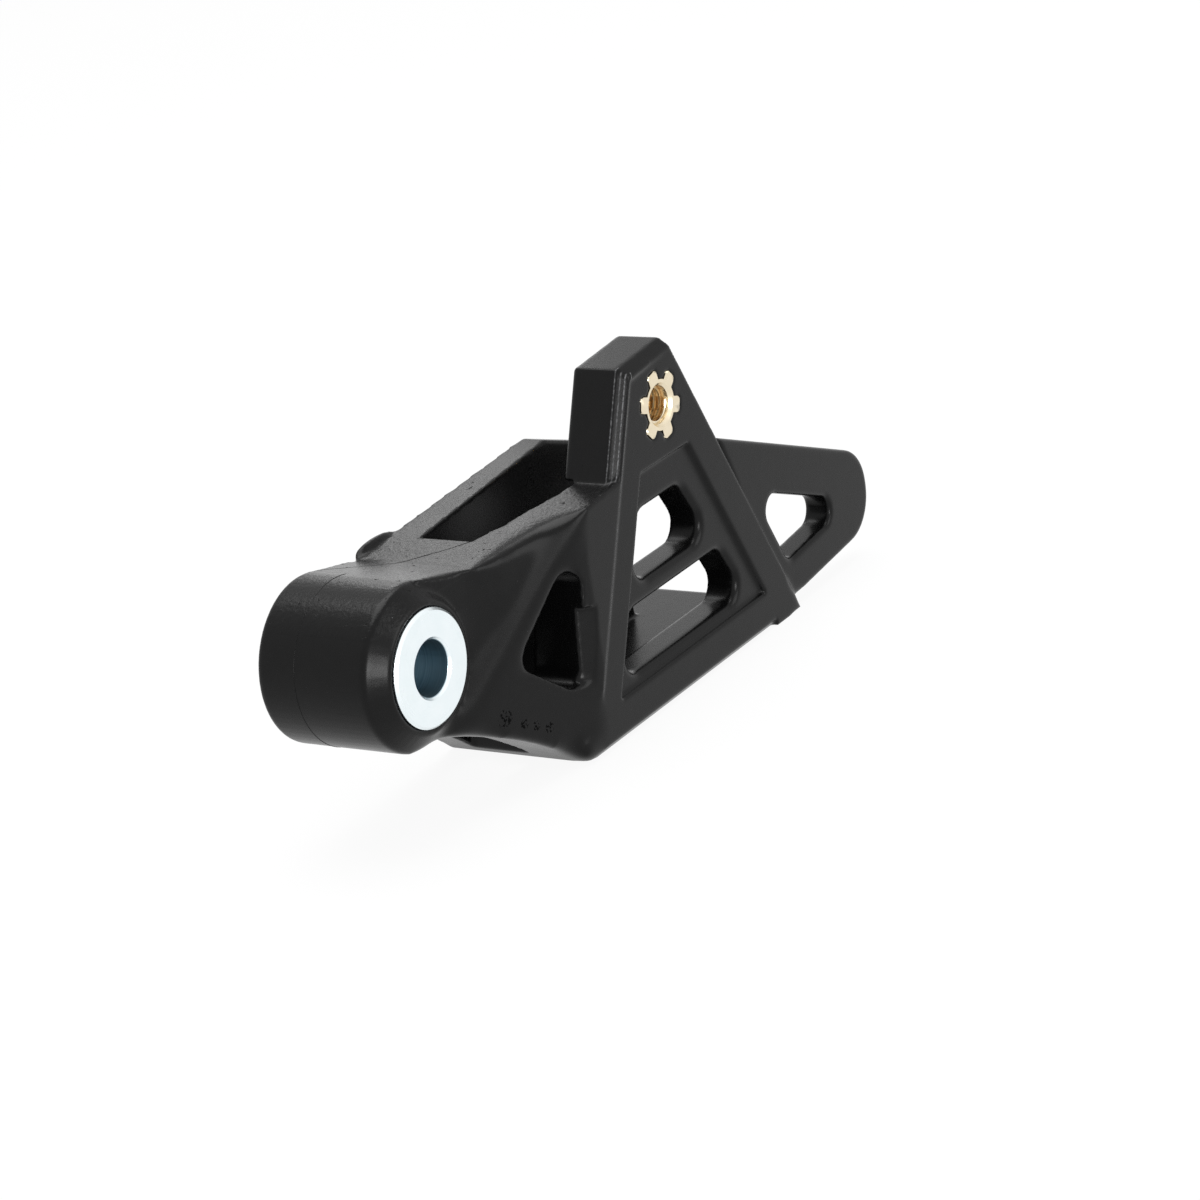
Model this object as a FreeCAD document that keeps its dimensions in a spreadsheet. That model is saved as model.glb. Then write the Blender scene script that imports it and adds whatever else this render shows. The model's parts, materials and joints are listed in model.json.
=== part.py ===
import FreeCAD, Part
import math
import os

import Sketcher
from FreeCAD import Placement, Rotation, Vector

# Motorcycle chain guide, moulded in one piece, with a steel bush in its front boss
# and a brass threaded insert in its upper tab.
# X runs to the rear along the chain, -Y is the side with the tab, Z is up,
# and the origin is the middle of the bush's bore.

doc = FreeCAD.newDocument("chain_guide")
sheet = doc.addObject("Spreadsheet::Sheet", "Size")

# Driving dimensions in millimetres. A lean is millimetres of X for each millimetre of Z,
# a rise or fall is millimetres of Z for each millimetre of X, and a leaning line is given
# by its X at the height of the bush. The tops of the walls and of the tab rise together, and
# each is given by its height over the bush.
SIZES = {
    # steel bush
    "bush_bore": 8.4,
    "bush_outer": 17.6,
    "bush_length": 22.5,
    "bush_edge": 0.4,
    "bush_proud": 0.5,
    "bush_gap": 0.04,
    # front boss
    "boss_radius": 12.6,
    "boss_rim": 0.7,
    "boss_cone": 2.5,
    "boss_round": 1.2,
    "boss_far_round": 0.8,
    # chain passage and floor
    "under_depth": 26.4,
    "floor_wall": 3.9,
    "floor_front": 25.9,
    "floor_rear": 87.0,
    "floor_round": 1.6,
    "slot_front": 21.7,
    "slot_near": 5.3,
    "slot_flare": 39.0,
    "slot_flare_near": 9.9,
    "arch_back": 16.3,
    "arch_depth": 75.5,
    "arch_radius": 65.9,
    "arch_edge": 1.4,
    # neck between the boss and the walls
    "wall_top": 9.0,
    "wall_rise": 0.084,
    "neck_crest": 2.7,
    "neck_crest_height": 12.3,
    "neck_dip": 13.5,
    "neck_under": 7.5,
    # near wall
    "face_near": 17.2,
    "plate_wall": 6.5,
    "flare_near": 10.3,
    "flare": 0.2222,
    "flank_boss_near": 8.4,
    "flank_front": 12.0,
    "flank_front_near": 10.9,
    "flank_mid": 18.0,
    "flank_mid_near": 12.9,
    "flank_rear": 33.0,
    "flank_rear_near": 15.6,
    "flank_round": 22.0,
    "arm_end": 46.0,
    "toe": 2.7,
    "toe_depth": 12.6,
    "saddle": 33.8,
    "saddle_height": 12.1,
    "toe_rise": 2.1,
    "toe_sweep": 8.0,
    # tab, triangle and rib
    "tab_top": 24.1,
    "tab_front": 37.2,
    "front_lean": 0.45,
    "tab_rear": 78.1,
    "rear_lean": 0.5225,
    "tab_wall": 9.0,
    "tab_bevel": 1.6,
    "tab_edge": 0.9,
    "rim_step": 0.4,
    "rim_land": 0.9,
    "rim_slope": 45.0,
    "rib_width": 7.0,
    "panel_depth": 0.9,
    "panel_draft": 15.0,
    "panel_front": 45.8,
    "panel_top": 11.6,
    "panel_bottom": 19.9,
    "window_front": 47.6,
    "window_rear": 65.8,
    "window_lean": 0.62,
    "window_round": 3.2,
    "window_edge": 1.3,
    "upper_top": 5.5,
    "upper_bottom": 5.0,
    "lower_top": 8.4,
    "lower_bottom": 18.2,
    "sill_bevel": 1.3,
    # small front window
    "eye_top": 32.2,
    "eye_top_height": 8.0,
    "eye_front": 17.2,
    "eye_front_depth": 6.8,
    "eye_low": 28.7,
    "eye_low_depth": 15.9,
    "eye_round": 2.4,
    # rear loop
    "loop_recess": 0.8,
    "loop_wall": 5.0,
    "loop_fall": 0.4064,
    "loop_lift": 0.0986,
    "loop_end_low": 21.9,
    "loop_end_height": 12.8,
    "loop_end": 118.9,
    "loop_round": 7.6,
    "loop_edge": 0.8,
    "hole_front": 81.6,
    "hole_top_bar": 8.7,
    "hole_low_bar": 6.6,
    "hole_round": 2.6,
    # far wall
    "far_inner": 3.8,
    "far_wall_front": 6.5,
    "far_wall_rear": 3.9,
    "far_peak": 57.0,
    "far_fall": 0.364,
    "far_rear_top": 70.0,
    "far_rear_foot": 75.0,
    "far_round": 4.0,
    # brass insert
    "insert_inset": 12.73,
    "insert_drop": 9.27,
    "insert_turn": 17.0,
    "insert_bore": 5.2,
    "insert_mouth": 6.4,
    "insert_root": 7.9,
    "insert_tip": 11.0,
    "insert_lobe": 2.5,
    "insert_gap": 0.04,
    "lobe_round": 0.7,
}

for row, (alias, number) in enumerate(SIZES.items(), start=1):
    sheet.set("A%d" % row, alias)
    sheet.set("B%d" % row, str(number))
    sheet.setAlias("B%d" % row, alias)
doc.recompute()

# How far a cutter runs past what it cuts, and how close two places are to be the same one.
PAST = 6.0
SAME = 0.01
# Lobes round the insert.
LOBES = 6

# The three ways a sketch lies: seen from the near side, from above and from the rear.
TURN = {"side": Rotation(Vector(1, 0, 0), 90), "plan": Rotation(), "across": Rotation(Vector(1, 1, 1), 120)}
DEPTH = {"side": "y", "plan": "z", "across": "x"}


def value(text):
    """The number that an expression on the sheet has now."""
    return float(sheet.evalExpression(text))


def front_line(base, height):
    """X of a line that leans back as the tab's front does, at a height."""
    return "Size.%s + Size.front_lean * (%s)" % (base, height)


def rear_line(base, height):
    """X of a line that leans forward as the tab's rear does, at a height."""
    return "Size.%s - Size.rear_lean * (%s)" % (base, height)


def wall_top(reach):
    """Height of the top of both walls at an X."""
    return "Size.wall_top + Size.wall_rise * (%s)" % reach


def front_crossing(level, inset="0"):
    """Height where a line parallel to the tab's front meets one parallel to the walls' top."""
    return "(%s + Size.wall_rise * (Size.tab_front + %s)) / (1 - Size.wall_rise * Size.front_lean)" % (level, inset)


def rear_crossing(level):
    """Height where the tab's rear meets a line parallel to the walls' top."""
    return "(%s + Size.wall_rise * Size.tab_rear) / (1 + Size.wall_rise * Size.rear_lean)" % level


def closed(sketch, corners):
    """Closed outline of straight edges, with every corner bound to the sheet."""
    points = [Vector(value(across), value(up), 0) for across, up in corners]
    count = len(points)
    for index in range(count):
        sketch.addGeometry(Part.LineSegment(points[index], points[(index + 1) % count]), False)
    for index in range(count):
        sketch.addConstraint(Sketcher.Constraint("Coincident", index, 2, (index + 1) % count, 1))
    for index, corner in enumerate(corners):
        for kind, text, number in zip(("DistanceX", "DistanceY"), corner, points[index]):
            datum = sketch.addConstraint(Sketcher.Constraint(kind, -1, 1, index, 1, number))
            sketch.setExpression("Constraints[%d]" % datum, text)
    return sketch


def outline(name, view, corners, at="0", place=None):
    """Sketch of straight edges in one of the three views, at a level or at a place of its own."""
    sketch = doc.addObject("Sketcher::SketchObject", name)
    sketch.Placement = place or Placement(Vector(), TURN[view])
    if place is None:
        sketch.setExpression("Placement.Base." + DEPTH[view], at)
    return closed(sketch, corners)


def extruded(name, sketch, ahead, behind="0", draft_ahead="0", draft_behind="0"):
    """Prism of a sketch, ahead of its plane and behind it, each part with its own draft."""
    prism = doc.addObject("Part::Extrusion", name)
    prism.Base = sketch
    prism.DirMode = "Normal"
    prism.Solid = True
    prism.setExpression("LengthFwd", ahead)
    prism.setExpression("LengthRev", behind)
    prism.setExpression("TaperAngle", draft_ahead)
    prism.setExpression("TaperAngleRev", draft_behind)
    return prism


def common(name, first, second):
    both = doc.addObject("Part::Common", name)
    both.Base = first
    both.Tool = second
    doc.recompute()
    return both


def fused(name, pieces):
    whole = doc.addObject("Part::MultiFuse", name)
    whole.Shapes = pieces
    whole.Refine = True
    doc.recompute()
    return whole


def cut(name, base, tool):
    rest = doc.addObject("Part::Cut", name)
    rest.Base = base
    rest.Tool = tool
    rest.Refine = True
    doc.recompute()
    return rest


def dressed(kind, name, base, size, wanted):
    """Fillet or chamfer on the edges of a solid that a test picks."""
    doc.recompute()
    dress = doc.addObject("Part::" + kind, name)
    dress.Base = base
    amount = value(size)
    picks = [number for number, edge in enumerate(base.Shape.Edges, start=1) if wanted(edge)]
    dress.Edges = [(number, amount, amount) for number in picks]
    doc.recompute()
    return dress


def is_straight(edge, way):
    """Whether an edge is a straight line along a direction."""
    if edge.Curve.TypeId != "Part::GeomLine":
        return False
    return abs(edge.Curve.Direction.dot(way)) > 1 - SAME * SAME


def passes(edge, reach, height):
    """Whether a cross-wise edge stands at an X and a Z."""
    middle = edge.CenterOfMass
    return abs(middle.x - reach) < SAME and abs(middle.z - height) < SAME


def lies_on(edge, depth):
    """Whether an edge lies wholly in the upright plane of one Y."""
    box = edge.BoundBox
    return abs(box.YMin - depth) < SAME and abs(box.YMax - depth) < SAME


ACROSS = Vector(0, 1, 0)
UP = Vector(0, 0, 1)

# Levels that several features share.
UNDER = "-Size.under_depth"
FLOOR = "Size.floor_wall - Size.under_depth"
FACE = "-Size.face_near"
RIM = "-Size.face_near - Size.rim_step"
INNER = "Size.plate_wall - Size.face_near"
LOWER = "-Size.under_depth - %g" % PAST
BEYOND = "Size.loop_end + %g" % PAST
OUTSIDE = "Size.face_near + %g" % PAST

# Heights of the tab's corners, and of its two corners on the walls' top.
FRONT_TOP = front_crossing("Size.tab_top")
REAR_TOP = rear_crossing("Size.tab_top")
FRONT_FOOT = front_crossing("Size.wall_top")
REAR_FOOT = rear_crossing("Size.wall_top")

# Middle of the insert, set in from the tab's front and down from its top.
INSERT_Z = front_crossing("Size.tab_top - Size.insert_drop", "Size.insert_inset")
INSERT_X = front_line("tab_front", INSERT_Z) + " + Size.insert_inset"

# Boss: a turned form about the bush's axis, with a cone on its near end.
BOSS_HALF = "Size.bush_length / 2 - Size.bush_proud"
boss_profile = outline("BossProfile", "plan", [
    ("0", "-(%s)" % BOSS_HALF),
    ("Size.bush_outer / 2 + Size.boss_rim", "-(%s)" % BOSS_HALF),
    ("Size.boss_radius", "Size.boss_cone - (%s)" % BOSS_HALF),
    ("Size.boss_radius", BOSS_HALF),
    ("0", BOSS_HALF),
])
boss_turned = doc.addObject("Part::Revolution", "BossTurned")
boss_turned.Source = boss_profile
boss_turned.Axis = ACROSS
boss_turned.Angle = 360
boss_turned.Solid = True
boss_cone_y = value("Size.boss_cone - (%s)" % BOSS_HALF)
boss_far_y = value(BOSS_HALF)
boss_near = dressed("Fillet", "BossNearRound", boss_turned, "Size.boss_round",
                    lambda edge: lies_on(edge, boss_cone_y))
boss = dressed("Fillet", "Boss", boss_near, "Size.boss_far_round",
               lambda edge: lies_on(edge, boss_far_y))

# Near flank, far wall and neck share their outlines in plan.
FLANK = [("0", "-Size.flank_boss_near"), ("Size.flank_front", "-Size.flank_front_near"),
         ("Size.flank_mid", "-Size.flank_mid_near"), ("Size.flank_rear", "-Size.flank_rear_near")]
CHANNEL_NEAR = [("Size.arm_end", INNER), ("Size.slot_flare", "-Size.slot_flare_near"),
                ("Size.slot_front", "-Size.slot_near"), ("0", "-Size.slot_near")]
FAR_OUTER = [("Size.far_rear_foot", "Size.far_inner + Size.far_wall_rear"),
             ("0", "Size.far_inner + Size.far_wall_front")]


def upright(name, corners):
    """Prism of a plan outline from the underside to above the tab."""
    sketch = outline(name + "Plan", "plan", corners, UNDER)
    return extruded(name + "Block", sketch, "%s + Size.under_depth + %g" % (REAR_TOP, PAST))


def flank_bend(edge):
    """Upright edges where the near flank bends."""
    bends = [(value("Size.flank_front"), value("-Size.flank_front_near")),
             (value("Size.flank_mid"), value("-Size.flank_mid_near"))]
    middle = edge.CenterOfMass
    return is_straight(edge, UP) and any(abs(middle.x - x) + abs(middle.y - y) < SAME for x, y in bends)


NECK_TOP = [("Size.neck_crest", "Size.neck_crest_height"), ("Size.neck_dip", wall_top("Size.neck_dip"))]

arm_block = upright("Arm", FLANK + [("Size.arm_end", "-Size.flank_rear_near")] + CHANNEL_NEAR)
arm_bent = dressed("Fillet", "ArmBent", arm_block, "Size.flank_round", flank_bend)
arm_side = outline("ArmSide", "side", [("0", "0")] + NECK_TOP + [
    ("Size.arm_end", wall_top("Size.arm_end")), ("Size.arm_end", UNDER), ("0", UNDER)])
arm = common("Arm", arm_bent, extruded("ArmSlab", arm_side, "Size.face_near", "Size.face_near"))

neck_block = upright("Neck", FLANK[:3] + [
    ("Size.slot_front", "-Size.flank_mid_near"), ("Size.slot_front", "Size.far_inner + Size.far_wall_rear"),
    ("0", "Size.far_inner + Size.far_wall_rear")])
neck_bent = dressed("Fillet", "NeckBent", neck_block, "Size.flank_round",
                    lambda edge: flank_bend(edge) and edge.CenterOfMass.x < value("Size.flank_mid") - SAME)
neck_side = outline("NeckSide", "side", [("0", "0")] + NECK_TOP + [
    ("Size.slot_front", wall_top("Size.slot_front")), ("Size.slot_front", "-Size.neck_under"),
    ("0", "-Size.boss_radius")])
neck = common("Neck", neck_bent, extruded("NeckSlab", neck_side, "Size.face_near", "Size.face_near"))

# Far wall: a plain wall that falls away behind its peak.
far_top = "%s - Size.far_fall * (Size.far_rear_top - Size.far_peak)" % wall_top("Size.far_peak")
far_side = outline("FarSide", "side", [("0", "0")] + NECK_TOP + [
    ("Size.far_peak", wall_top("Size.far_peak")), ("Size.far_rear_top", far_top),
    ("Size.far_rear_foot", UNDER), ("0", UNDER)])
far_slab = extruded("FarSlab", far_side, "0", "Size.face_near")
far_soft = dressed("Fillet", "FarSoft", far_slab, "Size.far_round",
                   lambda edge: passes(edge, value("Size.far_rear_top"), value(far_top)))
far_wall = common("FarWall", upright("Far", [("0", "Size.far_inner"), ("Size.far_rear_foot", "Size.far_inner")]
                                     + FAR_OUTER), far_soft)

# Near plate: the tab, the triangle under it and the rib behind, one flat wall. In front of the
# triangle a toe with sloping edges runs down to the boss, on a plane that flares in towards it.
FLARE_END = "(Size.face_near + Size.rim_step - Size.flare_near) / Size.flare"
plate_block = upright("Plate", [
    ("0", "-Size.flare_near"), (FLARE_END, RIM), (BEYOND, RIM), (BEYOND, INNER)] + CHANNEL_NEAR)
TAB_FRONT = [(front_line("tab_front", FRONT_FOOT), FRONT_FOOT), (front_line("tab_front", FRONT_TOP), FRONT_TOP)]
TAB_REAR = [(rear_line("tab_rear", REAR_TOP), REAR_TOP), (rear_line("tab_rear", REAR_FOOT), REAR_FOOT)]
plate_side = outline("PlateSide", "side", TAB_FRONT + TAB_REAR[:1] + [
    (rear_line("tab_rear", UNDER), UNDER), (front_line("tab_front", FRONT_FOOT), UNDER)])
plate_raw = common("PlateRaw", extruded("PlateSlab", plate_side, "Size.face_near + Size.rim_step"), plate_block)


def on_tab_rim(edge):
    """Outer edges of the tab's front and top."""
    middle = edge.CenterOfMass
    front = abs(middle.x - value("Size.tab_front") - value("Size.front_lean") * middle.z) < SAME
    top = abs(middle.z - value("Size.tab_top") - value("Size.wall_rise") * middle.x) < SAME
    return lies_on(edge, value(RIM)) and (front or top)


plate_tab = dressed("Chamfer", "PlateTab", plate_raw, "Size.tab_bevel", on_tab_rim)

# Above the walls the tab is thicker on its channel side.
tab_side = outline("TabSide", "side", TAB_FRONT + TAB_REAR, INNER)
tab_back = extruded("TabBack", tab_side, "0", "Size.tab_wall - Size.plate_wall")

# The toe is drawn on the flared plane, so its X is measured along the slope.
SLOPE = "sqrt(1 + Size.flare * Size.flare)"
flare_turn = Rotation(UP, -math.degrees(math.atan(value("Size.flare"))))
flare_in = flare_turn.multVec(ACROSS) * value("Size.toe_rise")
toe_place = Placement(flare_in - ACROSS * value("Size.flare_near"), flare_turn.multiply(TURN["side"]))
toe_side = outline("ToeSide", "side", [
    ("Size.toe * " + SLOPE, "-Size.toe_depth"), ("Size.saddle * " + SLOPE, "Size.saddle_height"),
    ("Size.arm_end * " + SLOPE, wall_top("Size.arm_end") + " + Size.toe_rise"),
    ("Size.arm_end * " + SLOPE, LOWER), ("Size.toe * " + SLOPE, LOWER)], place=toe_place)
toe_pad = extruded("ToePad", toe_side, "Size.toe_rise", "%g" % PAST)

# A hollow sweep leads from the flank up to the toe's sloping edge.
SWEEP = "sqrt(2 * Size.toe_sweep * Size.toe_rise - Size.toe_rise * Size.toe_rise)"
CREASE = "sqrt(((Size.saddle - Size.toe) * %s)^2 + (Size.saddle_height + Size.toe_depth)^2)" % SLOPE
crease_low = toe_place.multVec(Vector(value("Size.toe * " + SLOPE), value("-Size.toe_depth"), 0))
crease_high = toe_place.multVec(Vector(value("Size.saddle * " + SLOPE), value("Size.saddle_height"), 0))
crease_way = (crease_high - crease_low).normalize()
toe_out = toe_place.Rotation.multVec(UP)
sweep_way = toe_out.cross(crease_way)
sweep_block = doc.addObject("Part::Box", "SweepBlock")
sweep_block.Placement = Placement(crease_low - toe_out * value("Size.toe_rise"),
                                  Rotation(crease_way, sweep_way, toe_out, "ZXY"))
sweep_block.setExpression("Length", "%s + %g" % (CREASE, PAST))
sweep_block.setExpression("Width", SWEEP)
sweep_block.setExpression("Height", "2 * Size.toe_rise")
sweep_round = doc.addObject("Part::Cylinder", "SweepRound")
sweep_round.Placement = Placement(
    crease_low + sweep_way * value(SWEEP) + toe_out * value("Size.toe_sweep") - crease_way * PAST,
    Rotation(sweep_way, toe_out, crease_way, "ZXY"))
sweep_round.setExpression("Radius", "Size.toe_sweep")
sweep_round.setExpression("Height", "%s + %g" % (CREASE, 3 * PAST))
toe_whole = fused("ToeWhole", [toe_pad, cut("Sweep", sweep_block, sweep_round)])
toe_cap = outline("ToeCap", "side", [
    ("0", UNDER), ("0", wall_top("0")), ("Size.arm_end", wall_top("Size.arm_end")), ("Size.arm_end", UNDER)])
toe_slab = common("ToeSlab", extruded("ToeCapSlab", toe_cap, OUTSIDE), plate_block)
toe = common("Toe", toe_whole, toe_slab)

# Rear loop: a thinner tongue behind the rib, with a three-cornered hole.
LOOP_FACE = "Size.loop_recess - Size.face_near"
RIB_MIDDLE = " - Size.rib_width / 2"
loop_root_top = rear_line("tab_rear", "0") + RIB_MIDDLE
loop_root_low = rear_line("tab_rear", UNDER) + RIB_MIDDLE


def loop_top(reach, drop="0"):
    """Height of the loop's upper edge at an X, or of a line parallel to it."""
    end_top = "Size.loop_end_height - Size.loop_end_low"
    return "%s - %s + Size.loop_fall * (Size.loop_end - (%s))" % (end_top, drop, reach)


def loop_low(reach, lift="0"):
    """Height of the loop's lower edge at an X, or of a line parallel to it."""
    return "%s - Size.loop_end_low - Size.loop_lift * (Size.loop_end - (%s))" % (lift, reach)


loop_side = outline("LoopSide", "side", [
    (loop_root_top, loop_top(loop_root_top)), ("Size.loop_end", loop_top("Size.loop_end")),
    ("Size.loop_end", loop_low("Size.loop_end")), (loop_root_low, loop_low(loop_root_low))], LOOP_FACE)
loop_slab = extruded("LoopSlab", loop_side, "0", "Size.loop_wall")
LOOP_ROUND = "min(Size.loop_round; 0.6 * Size.loop_end_height)"
loop_blank = dressed("Fillet", "LoopBlank", loop_slab, LOOP_ROUND,
                     lambda edge: is_straight(edge, ACROSS) and edge.CenterOfMass.x > value("Size.loop_end") - SAME)

# Corners of the loop's hole, where its three edges cross.
HOLE_TOP = "Size.hole_top_bar"
HOLE_LOW = "Size.hole_low_bar"
hole_upper_z = "(%s) / (1 - Size.loop_fall * Size.rear_lean)" % loop_top("Size.hole_front", HOLE_TOP)
hole_lower_z = "(%s) / (1 + Size.loop_lift * Size.rear_lean)" % loop_low("Size.hole_front", HOLE_LOW)
HOLE_TAIL = "(%s + %s - Size.loop_end_height) / (Size.loop_fall + Size.loop_lift)" % (HOLE_TOP, HOLE_LOW)
hole_end = "Size.loop_end - " + HOLE_TAIL
hole_side = outline("HoleSide", "side", [
    (rear_line("hole_front", hole_upper_z), hole_upper_z), (hole_end, loop_top(hole_end, HOLE_TOP)),
    (rear_line("hole_front", hole_lower_z), hole_lower_z)])
hole_prism = extruded("HolePrism", hole_side, OUTSIDE)
hole = dressed("Fillet", "Hole", hole_prism, "Size.hole_round", lambda edge: is_straight(edge, ACROSS))
loop_open = cut("LoopOpen", loop_blank, hole)
loop_levels = [value(LOOP_FACE), value(LOOP_FACE + " + Size.loop_wall")]
loop = dressed("Fillet", "Loop", loop_open, "Size.loop_edge",
               lambda edge: any(lies_on(edge, level) for level in loop_levels))

# Floor under the chain, from the arch in front to a straight rear edge.
floor_side = outline("FloorSide", "side", [
    ("Size.floor_front", UNDER), ("Size.floor_front", FLOOR), ("Size.floor_rear", FLOOR), ("Size.floor_rear", UNDER)])
floor_slab = extruded("FloorSlab", floor_side, "Size.face_near", "Size.far_inner + Size.far_wall_rear")
floor_plate = dressed("Fillet", "FloorPlate", floor_slab, "Size.floor_round",
                      lambda edge: passes(edge, value("Size.floor_rear"), value(FLOOR)))

# Walls, neck, toe and floor, cut from below by the arch that the chain leaves through.
walls = fused("Walls", [arm, neck, far_wall, plate_tab, tab_back, toe, floor_plate])
arch = doc.addObject("Part::Cylinder", "Arch")
arch.Placement = Placement(Vector(), Rotation(Vector(1, 0, 0), -90))
arch.setExpression("Radius", "Size.arch_radius")
arch.setExpression("Height", "2 * (%s)" % OUTSIDE)
arch.setExpression("Placement.Base.x", "-Size.arch_back")
arch.setExpression("Placement.Base.y", "-(%s)" % OUTSIDE)
arch.setExpression("Placement.Base.z", "-Size.arch_depth")
arched = cut("Arched", walls, arch)


def on_arch_rim(edge):
    """The arch's edge along the flared face of the toe."""
    middle = edge.valueAt((edge.FirstParameter + edge.LastParameter) / 2)
    reach = math.hypot(middle.x + value("Size.arch_back"), middle.z + value("Size.arch_depth"))
    flared = edge.CenterOfMass.y < value("-Size.flare_near") and edge.Curve.TypeId == "Part::GeomEllipse"
    return flared and abs(reach - value("Size.arch_radius")) < SAME


def on_tab_back(edge):
    """Edges of the tab's channel side, but for its foot on the wall."""
    return lies_on(edge, value("Size.tab_wall - Size.face_near")) and edge.CenterOfMass.z > value(REAR_FOOT)


arch_soft = dressed("Fillet", "ArchSoft", arched, "Size.arch_edge", on_arch_rim)
tab_soft = dressed("Fillet", "TabSoft", arch_soft, "Size.tab_edge", on_tab_back)
frame = fused("Frame", [boss, tab_soft, loop])

# Face of the triangle, a little below the rim that the tab's bevel leaves, and the sunk panel in it.
LAND = "(Size.tab_bevel + Size.rim_land)"
face_front = front_crossing("Size.tab_top - " + LAND, LAND)
face_rear = "Size.tab_top - %s + Size.wall_rise * (%s)" % (LAND, BEYOND)
face_side = outline("FaceSide", "side", [
    (front_line("tab_front", face_front) + " + " + LAND, face_front), (BEYOND, face_rear), (BEYOND, LOWER),
    (front_line("tab_front", LOWER) + " + " + LAND, LOWER)], FACE)
faced = cut("Faced", frame, extruded("FaceCut", face_side, "%g" % PAST, draft_ahead="Size.rim_slope"))
panel_side = outline("PanelSide", "side", [
    (front_line("panel_front", "Size.panel_top"), "Size.panel_top"),
    (rear_line("tab_rear", "Size.panel_top") + " - Size.rib_width", "Size.panel_top"),
    (rear_line("tab_rear", "-Size.panel_bottom") + " - Size.rib_width", "-Size.panel_bottom"),
    (front_line("panel_front", "-Size.panel_bottom"), "-Size.panel_bottom")], FACE)
panel_cut = extruded("PanelCut", panel_side, "0", "Size.panel_depth", draft_behind="-Size.panel_draft")
sunk = cut("Sunk", faced, panel_cut)


def window(name, corners, round_size):
    """Cutter right through the near wall, with rounded corners."""
    prism = extruded(name + "Prism", outline(name + "Side", "side", corners, "-Size.slot_near"), OUTSIDE)
    return dressed("Fillet", name, prism, round_size, lambda edge: is_straight(edge, ACROSS))


def window_rear(height):
    """X of the windows' rear ends at a height."""
    return "Size.window_rear - Size.window_lean * (%s)" % height


def leaning(top, bottom):
    """Corners of a window whose ends lean towards each other."""
    return [(front_line("window_front", top), top), (window_rear(top), top),
            (window_rear(bottom), bottom), (front_line("window_front", bottom), bottom)]


upper_window = window("UpperWindow", leaning("Size.upper_top", "-Size.upper_bottom"), "Size.window_round")
lower_window = window("LowerWindow", leaning("-Size.lower_top", "-Size.lower_bottom"), "Size.window_round")
eye = window("Eye", [("Size.eye_top", "Size.eye_top_height"), ("Size.eye_low", "-Size.eye_low_depth"),
                     ("Size.eye_front", "-Size.eye_front_depth")], "Size.eye_round")
opened = cut("Opened", sunk, fused("Windows", [upper_window, lower_window, eye]))
panel_level = value("Size.panel_depth - Size.face_near")


def on_window_rim(edge):
    """Edges where the two windows break through the sunk panel."""
    middle = edge.CenterOfMass
    inside = value("-Size.lower_bottom") - SAME < middle.z < value("Size.upper_top") + SAME
    front = value(front_line("window_front", "%g" % middle.z)) - SAME
    rear = value(window_rear("%g" % middle.z)) + SAME
    return lies_on(edge, panel_level) and inside and front < middle.x < rear


softened = dressed("Fillet", "Softened", opened, "Size.window_edge", on_window_rim)

# Bevel along the lower near edge, in front of the rib's foot.
sill_end = rear_line("tab_rear", UNDER) + " - Size.rib_width - Size.sill_bevel"
sill_across = outline("SillAcross", "across", [
    (FACE + " - %g" % PAST, UNDER + " - %g" % PAST), (FACE + " + %g + Size.sill_bevel" % PAST, UNDER + " - %g" % PAST),
    (FACE + " - %g" % PAST, UNDER + " + %g + Size.sill_bevel" % PAST)])
sill = cut("Sill", softened, extruded("SillCut", sill_across, sill_end))

# Seats for the bush and the insert.
bush_seat = doc.addObject("Part::Cylinder", "BushSeat")
bush_seat.Placement = Placement(Vector(), Rotation(Vector(1, 0, 0), -90))
bush_seat.setExpression("Radius", "Size.bush_outer / 2 + Size.bush_gap")
bush_seat.setExpression("Height", "Size.bush_length + %g" % PAST)
bush_seat.setExpression("Placement.Base.y", "-(Size.bush_length + %g) / 2" % PAST)
bored = cut("Bored", sill, bush_seat)


def star(name, gap):
    """Six-lobed prism through the tab, where the insert is moulded in, grown all round by a gap."""
    core = doc.addObject("Part::Cylinder", name + "Core")
    core.Placement = Placement(Vector(), Rotation(Vector(1, 0, 0), -90))
    core.setExpression("Radius", "Size.insert_root / 2 + %s" % gap)
    core.setExpression("Height", "Size.tab_wall")
    core.setExpression("Placement.Base.x", INSERT_X)
    core.setExpression("Placement.Base.y", FACE)
    core.setExpression("Placement.Base.z", INSERT_Z)
    half_length = "Size.insert_tip / 2 + %s" % gap
    half_width = "Size.insert_lobe / 2 + %s" % gap
    bars = []
    for number in range(LOBES // 2):
        turn = Rotation(ACROSS, value("Size.insert_turn") + 360.0 / LOBES * number)
        place = Placement(Vector(value(INSERT_X), value(FACE), value(INSERT_Z)),
                          turn.multiply(TURN["side"]))
        side = outline("%sBar%dSide" % (name, number), "side", [
            ("-(%s)" % half_length, "-(%s)" % half_width), ("-(%s)" % half_length, half_width),
            (half_length, half_width), (half_length, "-(%s)" % half_width)], place=place)
        bar = extruded("%sBar%d" % (name, number), side, "0", "Size.tab_wall")
        bars.append(dressed("Fillet", "%sLobes%d" % (name, number), bar, "Size.lobe_round",
                            lambda edge: is_straight(edge, ACROSS)))
    return fused(name, [core] + bars)


guide = cut("Guide", bored, star("InsertSeat", "Size.insert_gap"))
guide.Label = "guide_body"

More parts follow.
